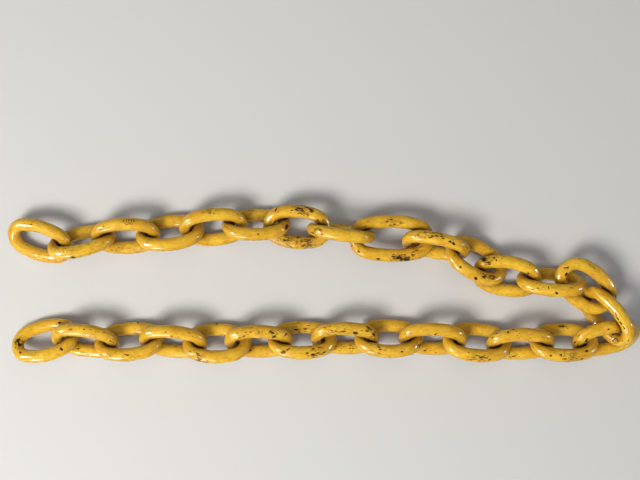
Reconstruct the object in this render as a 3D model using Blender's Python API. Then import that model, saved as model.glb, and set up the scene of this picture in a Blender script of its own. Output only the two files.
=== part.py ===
"""A short length of painted steel chain, laid doubled on a level floor.

Twenty-nine welded links, each one closed oval ring of round wire, hang in one another. The run
leaves the first free end at the upper left, turns back at the bend on the right and comes
home to the second free end at the lower left. Every other link leans the opposite way, and
one link of the upper run is longer than the rest and lies almost flat.

Lengths are written in millimetres and turned into metres where Blender takes them.
+X runs along the chain from the free ends to the bend, +Y from the lower run to the upper
one, +Z up from the floor.
"""
import math

import bpy
import numpy as np
from mathutils import Euler, Vector

MM = 0.001

# Driving dimensions of the links
WIRE = 7.6                  # thickness of the wire on the legs, paint included
CROWN_WEAR = 0.08           # share of that thickness worn off at the middle of each crown
EYE_LENGTH = 28.3           # clear length inside a link, which is also its pitch
OUTER_WIDTH = 28.6          # over the middle of both legs, which bow out a little
CROWN_RADIUS = 9.0          # of the wire's middle line round each end
LONG_EYE_LENGTH = 38.4      # clear length inside the one long link
CLEARANCE = 0.3             # air kept where one link bears on the next
REACH = 6.0                 # furthest a link is moved to clear its neighbour
NUDGE = 0.1                 # step of that move

# How finely a ring of wire is drawn
CROWN_STEPS = 8             # straight pieces in each crown, the rounder arc at an end
LEG_STEPS = 3               # straight pieces in the flat arc of each leg
WIRE_SIDES = 10             # flats round the wire
FLAT_TURN = 21.13           # turn of those flats, so that links leaning 51 degrees rest on one

# Paint
PAINT_YELLOW = (0.70, 0.42, 0.045)
PAINT_ROUGHNESS = 0.35

# How each link lies. Plan place of its middle in mm from the middle of the upper run,
# heading along the chain from the first free end, lean of its left leg over the right one
# and nose, the rise of its front end, all in degrees; lift is the air under its lowest spot
# in mm, where its neighbours hold it off the floor.
LONG = "long"
PLAIN = "plain"
BEND = 15
LAY = (
    # kind     x     y   heading lean nose lift
    (PLAIN, -174.0, -0.5, -15, 33, 6, 0),
    (PLAIN, -147.5, -1.0, 13, -57, -4, 0),
    (PLAIN, -120.5, 2.5, 2, 46, -2, 0),
    (PLAIN, -93.0, 4.5, 6, -46, 0, 0),
    (PLAIN, -66.0, 8.0, 5, 43, 0, 0),
    (PLAIN, -39.5, 9.5, 1, -55, 0, 0),
    (PLAIN, -14.0, 8.0, -4, 23, 5, 4.5),
    (PLAIN, 13.0, 4.5, -8, -83, 4, 0),
    (LONG, 44.0, 1.0, -1, 1, -2, 10.5),
    (PLAIN, 71.5, -3.5, -11, 66, 4, 0),
    (PLAIN, 97.0, -12.5, -26, -35, -10, 0),
    (PLAIN, 116.0, -22.5, -9, 33, 6, 0),
    (PLAIN, 143.0, -26.0, -5, -64, 9, 0),
    (PLAIN, 164.0, -28.5, -38, 10, -9, 8),
    (PLAIN, 177.0, -47.0, -52, 58, 21, 0),
    (PLAIN, 177.0, -61.0, 189, -46, 4, 0),
    (PLAIN, 150.5, -63.5, 180, 46, 0, 0),
    (PLAIN, 124.0, -64.5, 181, -51, 0, 0),
    (PLAIN, 97.0, -63.5, 176, 44, 0, 0),
    (PLAIN, 70.0, -61.5, 177, -50, 0, 0),
    (PLAIN, 42.5, -61.0, 179, 46, 0, 0),
    (PLAIN, 15.5, -61.0, 179, -50, 0, 0),
    (PLAIN, -11.0, -62.0, 180, 47, 0, 0),
    (PLAIN, -38.0, -63.0, 180, -49, 0, 0),
    (PLAIN, -64.0, -64.0, 180, 42, 0, 0),
    (PLAIN, -91.0, -63.0, 175, -49, 0, 0),
    (PLAIN, -118.5, -63.0, 184, 45, 0, 0),
    (PLAIN, -145.5, -62.5, 173, -48, 0, 0),
    (PLAIN, -171.0, -62.5, 191, 34, -5, 0),
)


def ring_stations(eye_length):
    """Middle line of a link's wire, as rows of x, y and share of the full thickness.

    It is an oval of four arcs that run smoothly into each other: a round one at each end
    and a flat one along each leg.
    """
    half_length = (eye_length + WIRE * (1 - CROWN_WEAR)) / 2
    half_width = (OUTER_WIDTH - WIRE) / 2
    crown_centre = half_length - CROWN_RADIUS
    leg_radius = ((crown_centre ** 2 + half_width ** 2 - CROWN_RADIUS ** 2)
                  / (2 * (half_width - CROWN_RADIUS)))
    leg_turn = math.atan2(crown_centre, leg_radius - half_width)
    crown_turn = math.pi / 2 - leg_turn
    rows = []
    for end in (1, -1):
        for step in range(CROWN_STEPS + 1):
            turn = crown_turn * (2 * step / CROWN_STEPS - 1)
            worn = (math.cos(turn) - math.cos(crown_turn)) / (1 - math.cos(crown_turn))
            rows.append((end * (crown_centre + CROWN_RADIUS * math.cos(turn)),
                         end * CROWN_RADIUS * math.sin(turn),
                         1 - CROWN_WEAR * worn))
        for step in range(1, LEG_STEPS):
            turn = leg_turn * (1 - 2 * step / LEG_STEPS)
            rows.append((end * leg_radius * math.sin(turn),
                         end * (half_width - leg_radius + leg_radius * math.cos(turn)),
                         1))
    return rows


def dense_ring(eye_length, spacing=0.4):
    """The same middle line with a point every spacing mm, for measuring gaps."""
    rows = np.array(ring_stations(eye_length))
    points = []
    for here, there in zip(rows, np.roll(rows, -1, axis=0)):
        count = max(1, round(float(np.hypot(*(there - here)[:2])) / spacing))
        points.extend(here + (there - here) * part / count for part in range(count))
    return np.array(points)


def link_turn(heading, lean, nose):
    """Rotation of a link from its lean about its length, its nose and its heading."""
    return Euler((math.radians(lean), math.radians(-nose), math.radians(heading)))


class LaidLink:
    """One link's wire in the chain's frame, in mm."""

    def __init__(self, kind, x, y, heading, lean, nose, lift):
        self.eye_length = LONG_EYE_LENGTH if kind == LONG else EYE_LENGTH
        self.turn = link_turn(heading, lean, nose)
        self.along = Vector((math.cos(math.radians(heading)), math.sin(math.radians(heading)), 0))
        ring = dense_ring(self.eye_length)
        flat = np.column_stack([ring[:, :2], np.zeros(len(ring))])
        self.wire = flat @ np.array(self.turn.to_matrix()).T
        self.radii = ring[:, 2] * WIRE / 2
        rest_height = -float((self.wire[:, 2] - self.radii).min())
        self.place = Vector((x, y, rest_height + lift))

    def air_to(self, other, shift):
        """Smallest gap to another link when this one is moved along by shift."""
        mine = self.wire + np.array(self.place + self.along * shift)
        theirs = other.wire + np.array(other.place)
        middle_gaps = np.linalg.norm(mine[:, None, :] - theirs[None, :, :], axis=2)
        return float((middle_gaps - self.radii[:, None] - other.radii[None, :]).min())

    def settle_on(self, other):
        """Move the shortest way along the heading that clears the neighbour's wire."""
        for step in range(round(REACH / NUDGE)):
            for shift in (step * NUDGE, -step * NUDGE):
                if self.air_to(other, shift) >= CLEARANCE:
                    self.place = self.place + self.along * shift
                    return


def lay_chain():
    """All links, each one settled on the link before it, outwards from the bend."""
    laid = [LaidLink(*row) for row in LAY]
    bend = BEND - 1
    for index in range(bend - 1, -1, -1):
        laid[index].settle_on(laid[index + 1])
    for index in range(bend + 1, len(laid)):
        laid[index].settle_on(laid[index - 1])
    return laid


def wire_ring(name, eye_length):
    """Curve of one link: a closed spline with the wire's thickness as bevel."""
    curve = bpy.data.curves.new(name, "CURVE")
    curve.dimensions = "3D"
    curve.bevel_depth = WIRE / 2 * MM
    curve.bevel_resolution = WIRE_SIDES // 2 - 2
    rows = ring_stations(eye_length)
    spline = curve.splines.new("POLY")
    spline.points.add(len(rows) - 1)
    for point, (x, y, share) in zip(spline.points, rows):
        point.co = (x * MM, y * MM, 0, 1)
        point.radius = share
        point.tilt = math.radians(FLAT_TURN)
    spline.use_cyclic_u = True
    spline.use_smooth = True
    return curve


def paint(name):
    """Glossy yellow paint."""
    material = bpy.data.materials.new(name)
    material.use_nodes = True
    shader = material.node_tree.nodes["Principled BSDF"]
    shader.inputs["Base Color"].default_value = (*PAINT_YELLOW, 1)
    shader.inputs["Roughness"].default_value = PAINT_ROUGHNESS
    shader.inputs["Metallic"].default_value = 0
    return material


def clear_scene():
    for thing in list(bpy.data.objects):
        bpy.data.objects.remove(thing)


def centre_on_floor(parent, parts):
    """Shift the parent so that the chain's box stands on the origin."""
    bpy.context.view_layer.update()
    depsgraph = bpy.context.evaluated_depsgraph_get()
    corners = []
    for part in parts:
        shown = part.evaluated_get(depsgraph)
        mesh = shown.to_mesh()
        corners.extend(part.matrix_world @ vertex.co for vertex in mesh.vertices)
        shown.to_mesh_clear()
    spots = np.array(corners)
    low, high = spots.min(axis=0), spots.max(axis=0)
    parent.location = (-(low[0] + high[0]) / 2, -(low[1] + high[1]) / 2, -low[2])
    bpy.context.view_layer.update()


def build():
    clear_scene()
    collection = bpy.data.collections.new("chain_length")
    bpy.context.scene.collection.children.link(collection)
    origin = bpy.data.objects.new("chain_origin", None)
    collection.objects.link(origin)
    rings = {PLAIN: wire_ring("plain_ring", EYE_LENGTH), LONG: wire_ring("long_ring", LONG_EYE_LENGTH)}
    for ring in rings.values():
        ring.materials.append(None)
    parts = []
    for number, (row, laid) in enumerate(zip(LAY, lay_chain()), start=1):
        kind = row[0]
        name = f"long_link_{number:02d}" if kind == LONG else f"link_{number:02d}"
        link = bpy.data.objects.new(name, rings[kind])
        collection.objects.link(link)
        link.parent = origin
        link.location = laid.place * MM
        link.rotation_euler = laid.turn
        link.material_slots[0].link = "OBJECT"
        link.material_slots[0].material = paint(f"paint_{number:02d}")
        parts.append(link)
    centre_on_floor(origin, parts)


build()
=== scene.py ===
"""Looks of a length of yellow-painted steel chain, laid doubled on a plain pale floor.

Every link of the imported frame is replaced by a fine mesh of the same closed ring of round
wire, placed from that link's own solid. Its thick paint has lumps, a weld bead, swellings
where links bear on each other, and chips and scuffs down to dark steel.

Lengths are in millimetres and are turned into metres where Blender takes them.
"""
import math

import bpy
import numpy as np
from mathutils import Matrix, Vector, noise
from mathutils.kdtree import KDTree


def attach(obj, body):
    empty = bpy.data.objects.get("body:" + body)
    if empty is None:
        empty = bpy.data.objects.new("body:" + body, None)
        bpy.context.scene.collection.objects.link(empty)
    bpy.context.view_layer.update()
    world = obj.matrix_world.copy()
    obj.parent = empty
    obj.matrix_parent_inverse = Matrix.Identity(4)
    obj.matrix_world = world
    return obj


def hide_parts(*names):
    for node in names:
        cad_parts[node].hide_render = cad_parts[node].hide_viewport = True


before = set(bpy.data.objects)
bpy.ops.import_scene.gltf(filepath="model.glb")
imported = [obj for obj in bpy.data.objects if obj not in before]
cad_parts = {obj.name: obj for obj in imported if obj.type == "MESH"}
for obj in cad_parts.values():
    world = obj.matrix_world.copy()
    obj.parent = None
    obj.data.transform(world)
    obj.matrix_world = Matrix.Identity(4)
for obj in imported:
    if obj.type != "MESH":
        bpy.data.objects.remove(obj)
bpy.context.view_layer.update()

MM = 0.001

# The camera hangs straight over this spot of the frame and looks down
CAMERA_SPOT = (-1.7, 26.9)
CAMERA_HEIGHT = 650.0
SENSOR_WIDTH = 36.0
FOCAL_LENGTH = 57.9

# The ring of wire, as the solids have it
WIRE = 7.6
CROWN_WEAR = 0.08
CROWN_RADIUS = 9.0
OUTER_WIDTH = 28.6
EYE_LENGTH = 28.3
LONG_EYE_LENGTH = 38.4

# Fineness of a link's mesh
RING_STEPS = 228
WIRE_STEPS = 60

# Shape of the paint on the wire
PAINT_BUILD = 0.22          # extra thickness
LUMP_HEIGHT = 0.2
LUMP_LENGTH = 6.5
RIPPLE_HEIGHT = 0.06
RIPPLE_LENGTH = 1.7
RIPPLE_SEED = 40            # added to the link's number, which is the seed of its lumps
SEED_SHIFTS = (37.1, 11.7, 5.3)
BEARING_AIR = (0.2, 2.4)    # the paint thins out between these distances to the next link
WELD_HEIGHT = 0.16
WELD_WIDTH = 2.6
NEIGHBOUR_SPACING = 60      # links whose middles are further apart never meet
BEARING_REACH = 1.8         # links nearer than this have paint drawn up between them
BEARING_SHARE = 0.42        # of the gap that each of the two then fills
CHIP_DEPTH = 0.14
CHIP_WALL = (0.4, 0.8)      # the skin drops between these values of the chip mask
FLOOR_SKIN = 0.02           # paint that would sink into the floor is pressed flat to this height

# Small chips scattered over every link
SPECK_COUNT = (8, 20)
SPECK_LENGTH = (0.25, 1.0)  # the least, and how much the longest add
SPECK_WIDTH = (0.3, 0.8)    # shares of the length
SPECK_SKEW = 0.5

# Edges of masks, full up to the first value and nothing from the second on. Those of specks,
# chips and scuffs count from the middle of the mark in its half sizes, the others are the
# distance to the next link.
SPECK_EDGE = (0.3, 1.5)
CHIP_EDGE = (0.35, 1.2)
SCUFF_EDGE = (0.5, 1.4)
JOINT_EDGE = (1.0, 2.5)
PAINTED_SHADE_EDGE = (0.5, 5)
GRIME_EDGE = (1.5, 9)

# How far a surface faces up, from -1 to 1: marks fade in from the first value to the second,
# and painted shade on the undersides fades out from the first to the second
UPPER_SIDE = (-0.15, 0.15)
SHADED_UNDERSIDE = (-0.7, 0)

# Pattern of the paint
STRETCH = 2.2               # flecks are this much longer along the wire than across it
PATTERN_SHIFT = 31.7        # gives each link its own stretch of the pattern
TONE_SHIFT = 12.9           # and its own tone
PATCH_LENGTH = 8.0
TINT_LENGTH = 4.5
SMUDGE_LENGTH = 3.0
BLOTCH_LENGTH = 2.0
BUMP_LENGTH = 1.5
MOTTLE_LENGTH = 1.3
FLECK_SPACING = 0.9
FINE_LENGTH = 0.7
GRAIN_LENGTH = 0.4

# How the surfaces shine
PAINT_SPECULAR = 0.25
PAINT_ROUGHNESS = 0.2
STEEL_ROUGHNESS = 0.45

# Colours of the paint, bright to deep, and of what shows through it and gathers on it. The dark
# brown is painted shade on the undersides and next to other links, and the near black is dirt
# and painted shade in the crevices between links
PAINT_SUNNY = (0.84, 0.52, 0.043, 1)
PAINT_DEEP = (0.70, 0.36, 0.021, 1)
PAINT_DULL = (0.68, 0.41, 0.040, 1)
PAINT_STAINED = (0.25, 0.12, 0.010, 1)
PAINT_MOTTLED = (0.46, 0.24, 0.014, 1)
PAINTED_SHADE_COLOUR = (0.28, 0.115, 0.003, 1)
JOINT_DIRT_AND_SHADE = (0.035, 0.014, 0.003, 1)
BARE_STEEL = (0.055, 0.024, 0.008, 1)

# Plain pale floor
FLOOR_COLOUR = (0.58, 0.58, 0.57, 1)
FLOOR_ROUGHNESS = 0.9
FLOOR_HALF_SIZE = 6.0       # m

# Chips that show the dark steel, seen from above: place from the link's middle along X and Y,
# length, width and turn in degrees
CHIPS = {
    "link_02": ((-2.6, -9.5, 1.9, 0.8, 5), (13.5, 3, 1.4, 0.8, 60)),
    "link_03": ((0.8, 9.2, 1.5, 0.4, 80), (2.3, 9.4, 1.8, 0.4, 85), (3.8, 9.4, 1.6, 0.4, 90),
                (5.4, 9.2, 1.8, 0.4, 95), (6.9, 8.9, 1.4, 0.4, 95)),
    "link_05": ((-1, 9, 0.4, 2.4, 0),),
    "link_06": ((19, -1.5, 2.6, 1.4, 70), (2, -6, 0.9, 0.7, 0)),
    "link_07": ((-13, 10.5, 1.8, 0.7, 60), (9, 10, 2.6, 0.8, -25), (-8, -8, 2.0, 0.9, -20)),
    "long_link_09": ((0.8, -11.2, 2.2, 0.7, -12), (4.9, -12.1, 3.2, 1.1, -12),
                     (9.4, -13.1, 3.2, 1.3, -12), (-8.3, -12.6, 1.8, 0.8, -5),
                     (-20.5, -8, 1.6, 1.0, -30)),
    "link_10": ((7.2, 2.4, 1.4, 1.0, -20), (9.4, 1.4, 1.7, 1.1, -30), (3, 4.5, 1.2, 0.7, -10)),
    "link_11": ((-11, -4, 1.3, 1.0, 0), (-5.5, -2, 1.2, 0.9, 0), (-1.5, -11, 1.6, 1.2, -30)),
    "link_12": ((-14.8, 10.5, 1.9, 1.5, 30), (-13.8, 8.6, 1.2, 0.7, 0),
                (-9, 11.5, 0.9, 0.6, -20), (-7.6, 10, 0.7, 0.9, 0), (12, 2, 1.2, 0.7, 40)),
    "link_13": ((-10.6, -3.2, 1.0, 0.7, 0), (-4.5, -3, 0.5, 1.2, 0),
                (0.3, -6.2, 1.3, 1.0, -25), (9.7, -3.2, 0.8, 0.6, 0)),
    "link_14": ((-13.2, 11.5, 2.0, 0.7, 0), (-13.4, 7.5, 1.6, 1.3, 50), (-12.6, 4.5, 1.4, 0.8, 70)),
    "link_15": ((2.2, 2.2, 1.6, 0.45, -75), (3.4, -0.6, 1.6, 0.45, -62),
                (4.9, -3.2, 1.8, 0.5, -60), (6.6, -6.0, 1.8, 0.5, -58),
                (8.0, -8.2, 1.4, 0.45, -55), (12, 2.5, 1.4, 0.5, -50),
                (4.2, -13.8, 1.6, 0.6, 40), (5.6, -14.6, 0.5, 1.4, 20)),
    "link_16": ((-1.3, 6.6, 1.0, 0.8, 0), (-14, -0.5, 1.8, 1.2, 60), (-20, -2, 1.0, 0.7, 70)),
    "link_17": ((11.5, -4.5, 1.8, 0.9, 10), (8.7, -9.2, 1.1, 0.8, 0), (0, 9.5, 3.2, 0.7, 5)),
    "link_18": ((-9.5, 8.1, 1.2, 0.7, 20), (-3, -8, 2.2, 0.6, 0)),
    "link_19": ((1.5, -8, 2.4, 0.6, 10), (6.5, -9.5, 1.4, 0.7, 20)),
    "link_20": ((0.5, 4.2, 1.7, 0.8, 30), (-4.5, -7.5, 1.2, 0.8, 0)),
    "link_21": ((18, -3.5, 1.5, 0.8, 30), (-13, -1.5, 1.2, 0.4, 80)),
    "link_22": ((6.1, 4.3, 2.2, 1.1, 0), (14.5, 7, 3.0, 0.6, -30), (17.6, 3.5, 2.4, 0.6, -60)),
    "link_23": ((-11.3, -6.5, 2.4, 1.5, 20), (-8.6, -5, 2.0, 0.6, 35), (-4, 6, 2.0, 0.7, 0),
                (2, 6.5, 1.6, 0.7, 0)),
    "link_24": ((9, 6.5, 2.4, 0.9, -30), (10, 4, 2.2, 0.8, 25), (7.5, 7, 1.5, 0.8, 30),
                (17, 5, 1.6, 1.0, 60), (-5.5, -6, 1.2, 0.7, 0)),
    "link_25": ((-5, -11.5, 2.0, 0.9, -20), (-0.5, 11.5, 1.6, 0.7, 40)),
    "link_26": ((-2.9, 7, 0.9, 0.7, 45),),
    "link_27": ((0.5, -7, 2.6, 0.6, -15), (4.5, 11, 1.1, 0.7, 0)),
    "link_28": ((-6.5, 8, 1.6, 0.8, 15), (2, 8, 1.0, 0.6, 0), (-5.5, -5.5, 1.3, 0.8, 0)),
    "link_29": ((-16.5, 0, 1.8, 1.2, 50), (-15.5, -2.5, 2.0, 1.0, -40),
                (12.6, -4.4, 1.9, 1.1, -50), (9, 11, 1.6, 0.9, 10)),
}

# Scuffed stretches, seen from above: place from the link's middle, half length, half width,
# turn in degrees and how badly they are scuffed
SCUFFS = {
    "link_02": ((-4.5, -6.5, 6, 2.5, 5, 0.5),),
    "link_03": ((3.8, 9, 4, 2.5, 0, 0.45), (0, -8, 12, 2.5, 0, 0.35)),
    "link_05": ((-1, 9, 7, 2, 0, 0.35),),
    "link_07": ((0.5, -9, 15, 4.5, -3, 0.8), (5, 10, 9, 3.5, -12, 0.75), (13.5, 1.5, 5, 4, 0, 0.6)),
    "link_08": ((-15.5, 0, 5, 4, 0, 0.8),),
    "long_link_09": ((1, 10, 7, 2.5, 0, 0.8), (-18.5, 9, 4, 3, 30, 0.5), (6, -12, 8, 2.5, -6, 1.0),
                     (17, -8, 8, 5, 20, 0.55), (10, 14.5, 5, 1.5, -10, 0.7)),
    "link_10": ((-4.5, 6.5, 9, 2.5, -5, 0.65), (17, 0, 4, 4, 0, 0.5)),
    "link_11": ((7, -10.5, 6, 2.5, -12, 0.8),),
    "link_12": ((-13.5, 10, 4, 3.5, 0, 1.0), (-7.5, 12, 4, 2, 0, 0.6)),
    "link_13": ((-15, 4, 3.5, 2, 0, 0.6),),
    "link_14": ((2, 13.5, 5, 3, -30, 0.4),),
    "link_15": ((4.2, -13.8, 3, 2.5, 0, 0.6),),
    "link_16": ((-15, -1, 4, 4, 0, 0.4), (9, 8, 6, 3, 10, 0.4)),
    "link_17": ((2, -8.5, 8, 4, 0, 0.8), (0, 9.5, 4, 1.5, 0, 0.6)),
    "link_18": ((-3, -8, 4, 1.5, 0, 0.6),),
    "link_19": ((-0.5, -9, 8, 3, 0, 0.8),),
    "link_20": ((-15, -3, 4, 4, 0, 0.4),),
    "link_21": ((-6, -7, 8, 3, -5, 0.5), (18, -3.5, 3, 2, 0, 0.7)),
    "link_22": ((-3, 4, 12, 4, 0, 0.7), (15.5, 4, 4, 4, -40, 0.6), (0, -6, 10, 3, 0, 0.4)),
    "link_23": ((9, -6, 8, 4, 10, 0.7), (0, 6, 6, 2, 0, 0.7)),
    "link_24": ((-9.5, 6, 5, 3, 20, 0.7), (-1.5, 7, 6, 2.5, 0, 0.5), (9.5, 6, 4, 3, 0, 0.6)),
    "link_25": ((-11, -8.5, 8, 4, -20, 0.8),),
    "link_27": ((-2, -8, 9, 3.5, 0, 0.4),),
    "link_29": ((-16, -1, 3, 4, 0, 0.55),),
}


class LinkFrame:
    """Where one link lies and how it is turned, measured from its solid."""

    def __init__(self, node):
        self.node = node
        spots = np.array([vertex.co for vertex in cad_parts[node].data.vertices]) / MM
        spots = np.unique(spots.round(3), axis=0)
        self.centre = spots.mean(axis=0)
        spread = np.linalg.eigh(np.cov((spots - self.centre).T))[1]
        self.along = spread[:, 2] * np.sign(spread[0, 2])
        self.normal = spread[:, 0] * np.sign(spread[2, 0])
        self.across = np.cross(self.normal, self.along)
        self.round_wire(LONG_EYE_LENGTH if node.startswith("long") else EYE_LENGTH)

    def round_wire(self, eye_length):
        """Middle line of the wire at even steps, with its outward side and crown share."""
        half_length = (eye_length + WIRE * (1 - CROWN_WEAR)) / 2
        half_width = (OUTER_WIDTH - WIRE) / 2
        crown_centre = half_length - CROWN_RADIUS
        leg_radius = ((crown_centre ** 2 + half_width ** 2 - CROWN_RADIUS ** 2)
                      / (2 * (half_width - CROWN_RADIUS)))
        leg_turn = math.atan2(crown_centre, leg_radius - half_width)
        crown_turn = math.pi / 2 - leg_turn
        leg = 2 * leg_radius * leg_turn
        crown = 2 * CROWN_RADIUS * crown_turn
        self.girth = 2 * (leg + crown)
        self.run = np.arange(RING_STEPS) * self.girth / RING_STEPS
        at = (self.run + leg / 2) % self.girth
        side = np.where(at < leg + crown, 1.0, -1.0)
        at = at % (leg + crown)
        on_leg = at < leg
        turn = np.where(on_leg, math.pi / 2 - (at - leg / 2) / leg_radius,
                        crown_turn - (at - leg) / CROWN_RADIUS)
        arc_radius = np.where(on_leg, leg_radius, CROWN_RADIUS)
        arc_centre = np.column_stack([np.where(on_leg, 0.0, crown_centre),
                                      np.where(on_leg, half_width - leg_radius, 0.0)])
        self.out = side[:, None] * np.column_stack([np.cos(turn), np.sin(turn)])
        self.plan = side[:, None] * arc_centre + arc_radius[:, None] * self.out
        worn = (np.cos(turn) - math.cos(crown_turn)) / (1 - math.cos(crown_turn))
        self.crown = np.where(on_leg, 0.0, worn)
        self.middle = self.to_frame(np.column_stack([self.plan, np.zeros(RING_STEPS)]))
        self.radius = WIRE / 2 * (1 - CROWN_WEAR * self.crown)

    def to_frame(self, local):
        """Points given along, across and over the link, in the frame."""
        return self.centre + local @ np.array([self.along, self.across, self.normal])


def noise_field(spots, length, seed):
    """Smooth noise from -1 to 1 at each spot, with features of about that length."""
    shift = Vector([seed * step for step in SEED_SHIFTS])
    return np.array([noise.noise(Vector(spot) / length + shift) for spot in spots])


def smooth_share(value, low, high):
    """Rises smoothly from 0 at low to 1 at high."""
    share = np.clip((value - low) / (high - low), 0, 1)
    return share * share * (3 - 2 * share)


def near_share(value, full, none):
    """1 up to full, and falls smoothly to 0 at none."""
    return smooth_share(-value, -none, -full)


def gap_to_others(link, others, spots):
    """Distance from each spot to the nearest wire of the other links."""
    near = [other for other in others
            if other is not link and np.linalg.norm(other.centre - link.centre) < NEIGHBOUR_SPACING]
    middle = np.concatenate([other.middle for other in near])
    radius = np.concatenate([other.radius for other in near])
    tree = KDTree(len(middle))
    for index, spot in enumerate(middle):
        tree.insert(spot, index)
    tree.balance()
    found = (tree.find(spot) for spot in spots)
    return np.array([distance - radius[index] for _, index, distance in found])


def wire_angles():
    """Angles of the mesh points round the wire, from its outward side on."""
    return np.arange(WIRE_STEPS) * 2 * math.pi / WIRE_STEPS


def scattered_chips(link, seed):
    """Mask of small chips, drawn out along the wire, as an array of the mesh grid."""
    dice = np.random.default_rng(seed)
    count = dice.integers(*SPECK_COUNT)
    angle = wire_angles()
    mask = np.zeros((RING_STEPS, WIRE_STEPS))
    for _ in range(count):
        run = dice.uniform(0, link.girth)
        around = dice.uniform(0, 2 * math.pi)
        length = SPECK_LENGTH[0] + SPECK_LENGTH[1] * dice.uniform(0, 1) ** 3
        width = length * dice.uniform(*SPECK_WIDTH)
        skew = dice.uniform(-SPECK_SKEW, SPECK_SKEW)
        ahead = (link.run - run + link.girth / 2) % link.girth - link.girth / 2
        aside = ((angle - around + math.pi) % (2 * math.pi) - math.pi) * WIRE / 2
        ahead, aside = np.meshgrid(ahead, aside, indexing="ij")
        distance = np.hypot((ahead + skew * aside) / length, (aside - skew * ahead) / width)
        mask = np.maximum(mask, near_share(distance, *SPECK_EDGE))
    return mask


def marks_from_above(link, spots, facing, marks, edge):
    """Mask of listed oval marks on the side of a link that faces up."""
    mask = np.zeros(len(spots))
    for x, y, length, width, turn, *strength in marks:
        away = spots[:, :2] - link.centre[:2] - (x, y)
        ahead = away @ (math.cos(math.radians(turn)), math.sin(math.radians(turn)))
        aside = away @ (-math.sin(math.radians(turn)), math.cos(math.radians(turn)))
        distance = np.hypot(ahead / length, aside / width)
        share = near_share(distance, *edge) * smooth_share(facing, *UPPER_SIDE)
        mask = np.maximum(mask, share * (strength[0] if strength else 1.0))
    return mask


def grid_faces():
    """Four-sided faces of the grid of mesh points, closed along the ring and round the wire."""
    station, side = np.meshgrid(np.arange(RING_STEPS), np.arange(WIRE_STEPS), indexing="ij")
    ahead = (station + 1) % RING_STEPS
    beside = (side + 1) % WIRE_STEPS
    corners = [station * WIRE_STEPS + side, station * WIRE_STEPS + beside,
               ahead * WIRE_STEPS + beside, ahead * WIRE_STEPS + side]
    return np.stack(corners, axis=-1).reshape(-1, 4)


def link_mesh(link, number, others):
    """Mesh of one painted link, with the masks that its material reads."""
    cosine, sine = np.cos(wire_angles()), np.sin(wire_angles())
    face = np.zeros((RING_STEPS, WIRE_STEPS, 3))
    face[:, :, 0] = link.out[:, None, 0] * cosine
    face[:, :, 1] = link.out[:, None, 1] * cosine
    face[:, :, 2] = sine
    centre = np.column_stack([link.plan, np.zeros(RING_STEPS)])[:, None, :]
    skin = (centre + face * link.radius[:, None, None]).reshape(-1, 3)
    lumps = noise_field(skin, LUMP_LENGTH, number)
    ripple = noise_field(skin, RIPPLE_LENGTH, number + RIPPLE_SEED)
    half_girth = link.girth / 2     # the weld is on the other leg of every second link
    from_weld = (link.run + half_girth * (1 - number % 2)) % link.girth - half_girth
    weld = np.repeat(np.exp(-(from_weld / (WELD_WIDTH / 2)) ** 2), WIRE_STEPS)
    placed = link.to_frame(skin)
    facing = (face.reshape(-1, 3) @ np.array([link.along, link.across, link.normal]))[:, 2]
    chips = marks_from_above(link, placed, facing, CHIPS.get(link.node, ()), CHIP_EDGE)
    chips = np.maximum(chips, scattered_chips(link, number).ravel())
    scuffs = marks_from_above(link, placed, facing, SCUFFS.get(link.node, ()), SCUFF_EDGE)
    gap = gap_to_others(link, others, placed)
    swell = BEARING_SHARE * np.clip(gap, 0, None) * near_share(gap, 0, BEARING_REACH)
    build = PAINT_BUILD + LUMP_HEIGHT * lumps + RIPPLE_HEIGHT * ripple + WELD_HEIGHT * weld
    build = build * smooth_share(gap, *BEARING_AIR) + swell
    build = build - CHIP_DEPTH * smooth_share(chips, *CHIP_WALL)
    spots = link.to_frame(skin + face.reshape(-1, 3) * build[:, None])
    spots[:, 2] = np.maximum(spots[:, 2], FLOOR_SKIN)
    mesh = bpy.data.meshes.new(f"painted_{link.node}")
    mesh.from_pydata((spots * MM).tolist(), [], grid_faces().tolist())
    mesh.shade_smooth()

    # The pattern is four-dimensional, so that it closes round the wire and along it
    wrap_radius = link.girth / (2 * math.pi) / STRETCH
    lap = np.repeat(link.run / link.girth * 2 * math.pi, WIRE_STEPS)
    wrap = np.column_stack([wrap_radius * np.cos(lap), wrap_radius * np.sin(lap),
                            np.tile(cosine * WIRE / 2, RING_STEPS)])
    add_mask(mesh, "wrap_w", np.tile(sine * WIRE / 2, RING_STEPS) + number * PATTERN_SHIFT)
    add_mask(mesh, "chip", chips)
    add_mask(mesh, "scuff", scuffs)
    # Dirt and painted shade in the crevices where the links nearly touch
    add_mask(mesh, "joint_dirt_and_shade", near_share(gap, *JOINT_EDGE))
    # Painted shade: darker next to other links and on the sides that face down
    painted_shade_share = np.maximum(near_share(gap, *PAINTED_SHADE_EDGE), near_share(facing, *SHADED_UNDERSIDE))
    add_mask(mesh, "painted_shade", painted_shade_share)
    add_mask(mesh, "grime", near_share(gap, *GRIME_EDGE))
    add_mask(mesh, "tone", np.full(len(spots), math.sin(number * TONE_SHIFT) / 2 + 0.5))
    attribute = mesh.attributes.new("wrap", "FLOAT_VECTOR", "POINT")
    attribute.data.foreach_set("vector", wrap.ravel())
    return mesh


def add_mask(mesh, name, values):
    attribute = mesh.attributes.new(name, "FLOAT", "POINT")
    attribute.data.foreach_set("value", values)


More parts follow.
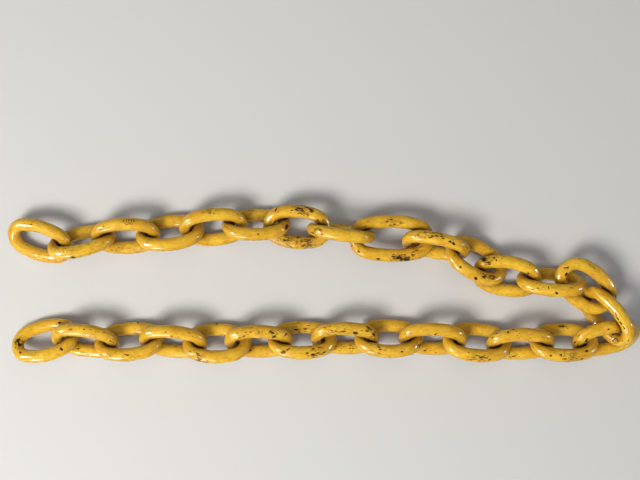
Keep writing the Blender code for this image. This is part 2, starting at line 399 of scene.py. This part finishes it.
class Nodes:
    """Short forms for the nodes of one material."""

    def __init__(self, name):
        self.material = bpy.data.materials.new(name)
        self.material.use_nodes = True
        self.tree = self.material.node_tree
        self.shader = self.tree.nodes["Principled BSDF"]

    def add(self, kind, **settings):
        node = self.tree.nodes.new(kind)
        for name, value in settings.items():
            setattr(node, name, value)
        return node

    def feed(self, socket, value):
        """Links a socket or sets a plain value."""
        if isinstance(value, bpy.types.NodeSocket):
            self.tree.links.new(value, socket)
        else:
            socket.default_value = value

    def mask(self, name):
        return self.add("ShaderNodeAttribute", attribute_name=name).outputs["Fac"]

    def vector(self, name):
        return self.add("ShaderNodeAttribute", attribute_name=name).outputs["Vector"]

    def noise(self, vector, w, length, detail, roughness=0.5, distortion=0.0):
        node = self.add("ShaderNodeTexNoise", noise_dimensions="4D")
        self.feed(node.inputs["Vector"], vector)
        self.feed(node.inputs["W"], w)
        node.inputs["Scale"].default_value = 1 / length
        node.inputs["Detail"].default_value = detail
        node.inputs["Roughness"].default_value = roughness
        node.inputs["Distortion"].default_value = distortion
        return node.outputs["Fac"]

    def cells(self, vector, w, length):
        """Distance to the nearest of scattered points, and a random number for each of them."""
        node = self.add("ShaderNodeTexVoronoi", voronoi_dimensions="4D")
        self.feed(node.inputs["Vector"], vector)
        self.feed(node.inputs["W"], w)
        node.inputs["Scale"].default_value = 1 / length
        split = self.add("ShaderNodeSeparateColor")
        self.feed(split.inputs["Color"], node.outputs["Color"])
        return node.outputs["Distance"], split.outputs["Red"]

    def math(self, operation, first, second, clamp=False):
        node = self.add("ShaderNodeMath", operation=operation, use_clamp=clamp)
        self.feed(node.inputs[0], first)
        self.feed(node.inputs[1], second)
        return node.outputs[0]

    def rise(self, value, low, high):
        """0 below low, 1 above high, smooth between."""
        node = self.add("ShaderNodeMapRange", interpolation_type="SMOOTHSTEP")
        self.feed(node.inputs["Value"], value)
        self.feed(node.inputs["From Min"], low)
        self.feed(node.inputs["From Max"], high)
        return node.outputs["Result"]

    def blend(self, share, first, second):
        """Colour between two colours."""
        node = self.add("ShaderNodeMix", data_type="RGBA")
        self.feed(node.inputs["Factor"], share)
        self.feed(node.inputs[6], first)
        self.feed(node.inputs[7], second)
        return node.outputs[2]

    def between(self, share, first, second):
        """Number between two numbers."""
        node = self.add("ShaderNodeMix", data_type="FLOAT")
        self.feed(node.inputs["Factor"], share)
        self.feed(node.inputs[2], first)
        self.feed(node.inputs[3], second)
        return node.outputs[0]

    def bump(self, height, strength, distance, normal=None):
        node = self.add("ShaderNodeBump")
        self.feed(node.inputs["Height"], height)
        self.feed(node.inputs["Strength"], strength)
        node.inputs["Distance"].default_value = distance
        if normal:
            self.feed(node.inputs["Normal"], normal)
        return node.outputs["Normal"]


def yellow_paint():
    """Glossy yellow paint with chips, scuffs, dirt, and painted shade in the joints and underneath.
    """
    nodes = Nodes("yellow_paint")
    wrap, w = nodes.vector("wrap"), nodes.mask("wrap_w")
    tone, joint_dirt_and_shade, chip = nodes.mask("tone"), nodes.mask("joint_dirt_and_shade"), nodes.mask("chip")
    scuff = nodes.mask("scuff")
    grimy = nodes.math("MULTIPLY", nodes.mask("grime"), 0.4)
    patches = nodes.noise(wrap, w, PATCH_LENGTH, 2.0)
    fine = nodes.noise(wrap, w, FINE_LENGTH, 3.0, 0.6)
    coarse = nodes.noise(wrap, w, BLOTCH_LENGTH, 4.0, 0.62, 0.6)
    tint = nodes.noise(wrap, w, TINT_LENGTH, 3.0)
    smudge = nodes.noise(wrap, w, SMUDGE_LENGTH, 5.0, 0.65, 0.6)
    grain = nodes.noise(wrap, w, GRAIN_LENGTH, 2.0)
    mottle = nodes.noise(wrap, w, MOTTLE_LENGTH, 3.0, 0.6)
    distance, chance = nodes.cells(wrap, w, FLECK_SPACING)

    # Where the bare steel shows: small flecks, larger blotches and the placed chips
    patchy = nodes.math("MULTIPLY", nodes.rise(patches, 0.45, 0.72), 0.3)
    worn = nodes.math("ADD", scuff, patchy, clamp=True)
    size = nodes.math("SUBTRACT", nodes.between(worn, 0.21, 0.74),
                      nodes.math("MULTIPLY", chance, 0.4))
    edge = nodes.math("MULTIPLY", nodes.math("SUBTRACT", fine, 0.5), 1.2)
    fine_over = nodes.math("SUBTRACT", nodes.math("ADD", size, edge), distance)
    coarse_over = nodes.math("SUBTRACT", coarse, nodes.between(worn, 0.75, 0.60))
    over = nodes.math("MAXIMUM", fine_over, coarse_over)
    rough_edge = nodes.math("ADD", nodes.math("MULTIPLY", nodes.math("SUBTRACT", fine, 0.5), 1.6),
                            nodes.math("SUBTRACT", grain, 0.5))
    ragged = nodes.math("ADD", chip, rough_edge)
    specks = nodes.math("MULTIPLY", nodes.rise(fine_over, 0.0, 0.06),
                        nodes.between(chance, 1.0, 0.5))
    blotches = nodes.math("MAXIMUM", nodes.rise(coarse_over, 0.0, 0.03),
                          nodes.rise(ragged, 0.55, 0.7))
    bare = nodes.math("MAXIMUM", specks, blotches, clamp=True)

    # Colour, from the paint up to what lies on it, painted shade and what shows through it
    colour = nodes.blend(nodes.rise(tint, 0.3, 0.7), PAINT_DEEP, PAINT_SUNNY)
    colour = nodes.blend(nodes.math("MULTIPLY", tone, 0.3), colour, PAINT_DULL)
    mottled = nodes.math("MULTIPLY", nodes.rise(mottle, 0.45, 0.66),
                         nodes.between(worn, 0.42, 1.0))
    colour = nodes.blend(mottled, colour, PAINT_MOTTLED)
    smudged = nodes.math("MULTIPLY", nodes.rise(smudge, 0.46, 0.72),
                         nodes.between(worn, 0.25, 0.7))
    smeared = nodes.math("MULTIPLY", nodes.rise(smudge, 0.4, 0.6), grimy)
    stained = nodes.math("MULTIPLY", nodes.rise(over, -0.15, 0.02), nodes.between(worn, 0.3, 0.7))
    dirty = nodes.math("MAXIMUM", nodes.math("MAXIMUM", smudged, smeared), stained)
    colour = nodes.blend(dirty, colour, PAINT_STAINED)
    # Painted shade on the undersides and next to other links
    painted_shade = nodes.math("MULTIPLY", nodes.mask("painted_shade"), 0.85)
    colour = nodes.blend(painted_shade, colour, PAINTED_SHADE_COLOUR)
    # Dirt and painted shade in the crevices between links
    colour = nodes.blend(nodes.math("MULTIPLY", joint_dirt_and_shade, 0.95), colour, JOINT_DIRT_AND_SHADE)
    colour = nodes.blend(bare, colour, BARE_STEEL)
    nodes.feed(nodes.shader.inputs["Base Color"], colour)
    nodes.shader.inputs["Specular IOR Level"].default_value = PAINT_SPECULAR
    roughness = nodes.between(bare, PAINT_ROUGHNESS, STEEL_ROUGHNESS)
    nodes.feed(nodes.shader.inputs["Roughness"], roughness)
    nodes.feed(nodes.shader.inputs["Metallic"], bare)

    # Uneven skin, more so where it is worn, and a step at the rim of each fleck
    uneven = nodes.noise(wrap, w, BUMP_LENGTH, 3.0)
    soft = nodes.bump(uneven, nodes.between(worn, 0.4, 1.0), 0.0003)
    rim = nodes.bump(nodes.rise(over, 0.03, -0.06), 0.7, 0.00014, soft)
    nodes.feed(nodes.shader.inputs["Normal"], rim)
    return nodes.material


def floor_finish():
    nodes = Nodes("pale_floor")
    nodes.shader.inputs["Base Color"].default_value = FLOOR_COLOUR
    nodes.shader.inputs["Roughness"].default_value = FLOOR_ROUGHNESS
    return nodes.material


def lay_floor():
    corners = [(x * FLOOR_HALF_SIZE, y * FLOOR_HALF_SIZE, 0)
               for x, y in ((-1, -1), (1, -1), (1, 1), (-1, 1))]
    mesh = bpy.data.meshes.new("floor")
    mesh.from_pydata(corners, [], [(0, 1, 2, 3)])
    mesh.materials.append(floor_finish())
    floor = bpy.data.objects.new("floor", mesh)
    bpy.context.scene.collection.objects.link(floor)


def dress_links():
    """One painted piece for every link of the frame."""
    links = [LinkFrame(node) for node in sorted(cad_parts)]
    finish = yellow_paint()
    for link in links:
        number = int(link.node[-2:])
        mesh = link_mesh(link, number, links)
        mesh.materials.append(finish)
        piece = bpy.data.objects.new(f"painted_{link.node}", mesh)
        bpy.context.scene.collection.objects.link(piece)
        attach(piece, "root")
        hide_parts(link.node)


def add_area_light(name, spot, size, power, colour, diffuse=True, glossy=True):
    """Square light at a spot in metres, aimed at the middle of the chain.

    diffuse and glossy say whether it lights the surfaces and whether it shows as a highlight.
    """
    lamp = bpy.data.lights.new(name, "AREA")
    lamp.size = size
    lamp.energy = power
    lamp.color = colour
    holder = bpy.data.objects.new(name, lamp)
    holder.location = spot
    holder.rotation_euler = (-Vector(spot)).to_track_quat("-Z", "Y").to_euler()
    holder.visible_diffuse = diffuse
    holder.visible_glossy = glossy
    bpy.context.scene.collection.objects.link(holder)


def light_room():
    add_area_light("key_light", (-0.65, -0.55, 1.10), 0.5, 19.5, (1.0, 0.97, 0.93), glossy=False)
    add_area_light("fill_light", (0.1, 0.1, 1.5), 1.8, 5.5, (1.0, 1.0, 1.0), glossy=False)
    add_area_light("left_glint", (-0.97, -0.24, 0.67), 0.25, 40.0, (1.0, 0.98, 0.95), diffuse=False)
    add_area_light("low_glint", (-0.50, -0.88, 0.37), 0.25, 13.0, (1.0, 0.98, 0.95), diffuse=False)
    add_area_light("right_glint", (1.25, 0.10, 0.36), 0.15, 9.0, (1.0, 1.0, 1.0), diffuse=False)
    world = bpy.data.worlds.new("studio")
    world.use_nodes = True
    world.node_tree.nodes["Background"].inputs["Color"].default_value = (0.97, 0.98, 1.0, 1)
    world.node_tree.nodes["Background"].inputs["Strength"].default_value = 0.18
    bpy.context.scene.world = world
    bpy.context.scene.view_settings.view_transform = "Standard"


def hang_camera():
    lens = bpy.data.cameras.new("photo_camera")
    lens.sensor_width = SENSOR_WIDTH
    lens.lens = FOCAL_LENGTH
    lens.clip_end = 20
    camera = bpy.data.objects.new("photo_camera", lens)
    camera.location = (CAMERA_SPOT[0] * MM, CAMERA_SPOT[1] * MM, CAMERA_HEIGHT * MM)
    bpy.context.scene.collection.objects.link(camera)
    bpy.context.scene.camera = camera


hang_camera()
dress_links()
lay_floor()
light_room()
bpy.context.view_layer.update()
